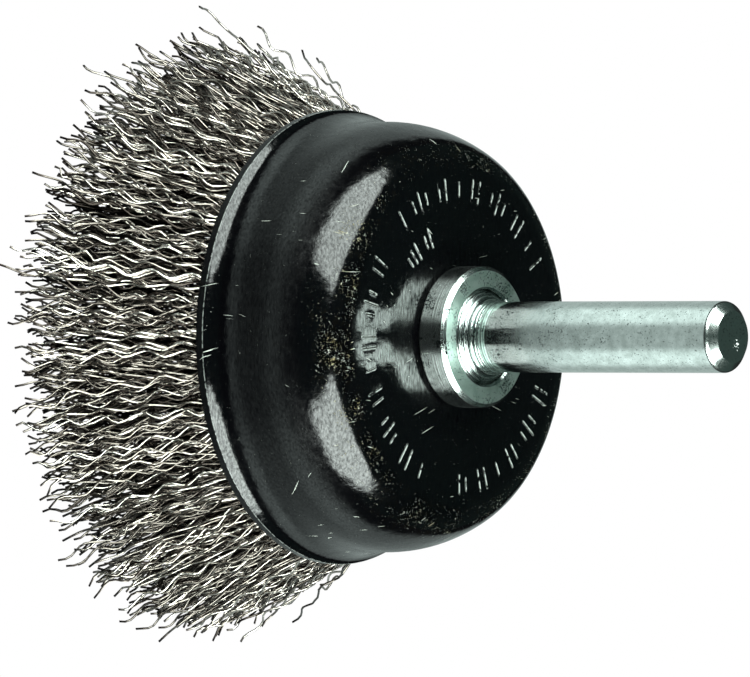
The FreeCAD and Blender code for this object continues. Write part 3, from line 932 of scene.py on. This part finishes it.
def makeFloor(s=studio):
    # the camera sees an even white board; the brush sees it dim in front and lit at the sides
    mat, tree, at = startMaterial("litBoard", 1)
    far = vectors(tree, "LENGTH", at).outputs["Value"]
    way = add(tree, "ShaderNodeSeparateXYZ", [vectors(tree, "NORMALIZE", at)]).outputs
    aside = calc(tree, "ABSOLUTE", way["X"])
    off = remap(tree, far, *around(s["glowRise"], s["glowEdge"]), smooth=True)
    front = blend(tree, off, s["glowFront"], s["farFront"], "FLOAT")
    sideways = blend(tree, off, s["glowSide"], s["farSide"], "FLOAT")
    aside = remap(tree, aside, *s["sideFrom"], smooth=True)
    side = blend(tree, aside, front, sideways, "FLOAT")
    behind = remap(tree, way["Y"], *s["behindFrom"], smooth=True)
    glow = blend(tree, behind, side, s["glowBack"], "FLOAT")
    fade = remap(tree, far, s["glowFar"], s["glowNear"], s["glowLeast"], 1.0, smooth=True)
    glow = calc(tree, "MULTIPLY", glow, fade)
    reflected = add(tree, "ShaderNodeEmission", {"Color": s["glowTint"], "Strength": glow})
    seen = add(tree, "ShaderNodeEmission", {"Color": linear(s["board"])})
    camera = add(tree, "ShaderNodeLightPath").outputs["Is Camera Ray"]
    above = add(tree, "ShaderNodeMixShader", [camera, reflected, seen])
    under = add(tree, "ShaderNodeNewGeometry").outputs["Backfacing"]    # clear, so as not to hide the tips
    clear = add(tree, "ShaderNodeBsdfTransparent")
    finishMaterial(tree, add(tree, "ShaderNodeMixShader", [under, above, clear]))
    mesh = bpy.data.meshes.new("floor")
    turns = [2 * math.pi * k / s["floorSides"] for k in range(s["floorSides"])]
    ring = [(s["floorRadius"] * math.cos(a), s["floorRadius"] * math.sin(a), 0) for a in turns]
    mesh.from_pydata(ring, [], [list(range(len(ring)))])
    mesh.materials.append(mat)
    floor = newObject("floor", mesh)


def softbox(name, azimuth, radiance, width, s=studio):
    # a lit cloth that fades to its edges; azimuth 0 is the camera's side, and it faces the brush
    mat, tree, at = startMaterial(name, 1)
    share = vectors(tree, "MULTIPLY", at, (2 / width, 2 / s["boxHeight"], 0))
    share = vectors(tree, "MULTIPLY", share, share)
    edge = vectors(tree, "DOT_PRODUCT", share, share).outputs["Value"]
    light = remap(tree, edge, 1 + s["boxEdge"], 1 - s["boxEdge"], toHigh=radiance, smooth=True)
    finishMaterial(tree, add(tree, "ShaderNodeEmission", {"Color": s["boxTint"], "Strength": light}))
    w, h = width * s["boxMargin"], s["boxHeight"] * s["boxMargin"]
    mesh = bpy.data.meshes.new(name)
    mesh.from_pydata([(-w, -h, 0), (w, -h, 0), (w, h, 0), (-w, h, 0)], [], [(0, 1, 2, 3)])
    mesh.materials.append(mat)
    a, e = math.radians(azimuth), math.radians(s["boxElevation"])
    away = Vector((math.sin(a) * math.cos(e), -math.cos(a) * math.cos(e), math.sin(e)))
    box = newObject(name, mesh)
    box.location = Vector((0, 0, s["boxAim"])) + away * s["boxDistance"]
    box.rotation_euler = away.to_track_quat("Z", "Y").to_euler()
    box.visible_camera = False


def makeLights(s=studio):
    for box in s["boxes"]:
        softbox(*box)
    world = bpy.data.worlds.new("studio")
    bpy.context.scene.world = world
    world.use_nodes = True
    tree = world.node_tree
    tree.nodes.clear()
    seen = add(tree, "ShaderNodeLightPath").outputs["Is Camera Ray"]
    colour = blend(tree, seen, s["sky"], (1, 1, 1, 1))
    sky = add(tree, "ShaderNodeBackground", {"Color": colour})
    add(tree, "ShaderNodeOutputWorld", {"Surface": sky})


lens = {
    "elevation": 37.52, "distance": 800.0,     # of the camera, solved from the photograph's ellipses
    "scale": 11.658, "frameWidth": 750,        # pixels to a millimetre, and pixels across
    "aside": 2.62, "up": -0.126,               # where the middle of the picture lies from the rim's middle
    "rimUp": 0.89,                             # from the rim's edge to its middle, as measured
    "sensor": 36.0, "clip": (0.05, 10),        # clip in metres
}


def makeCamera(s=lens):
    a = math.radians(s["elevation"])
    back = Vector((0, -math.cos(a), math.sin(a)))
    right = Vector((0, math.sin(a), math.cos(a)))     # the photograph shows the brush lying on its side
    up = Vector((-1, 0, 0))
    data = bpy.data.cameras.new("camera")
    data.sensor_width = s["sensor"]
    data.lens = s["scale"] * s["distance"] * data.sensor_width / s["frameWidth"]
    data.clip_start, data.clip_end = s["clip"]
    camera = newObject("camera", data)
    rimMiddle = Vector((0, 0, rimZ + s["rimUp"]))
    spot = rimMiddle + right * s["aside"] + up * s["up"] + back * s["distance"]
    camera.matrix_world = Matrix.Translation(spot * mm) @ Matrix((right, up, back)).transposed().to_4x4()
    bpy.context.scene.camera = camera


makeFloor()
makeLights()
makeCamera()
bpy.context.scene.view_settings.view_transform = "Standard"
print("studio made")
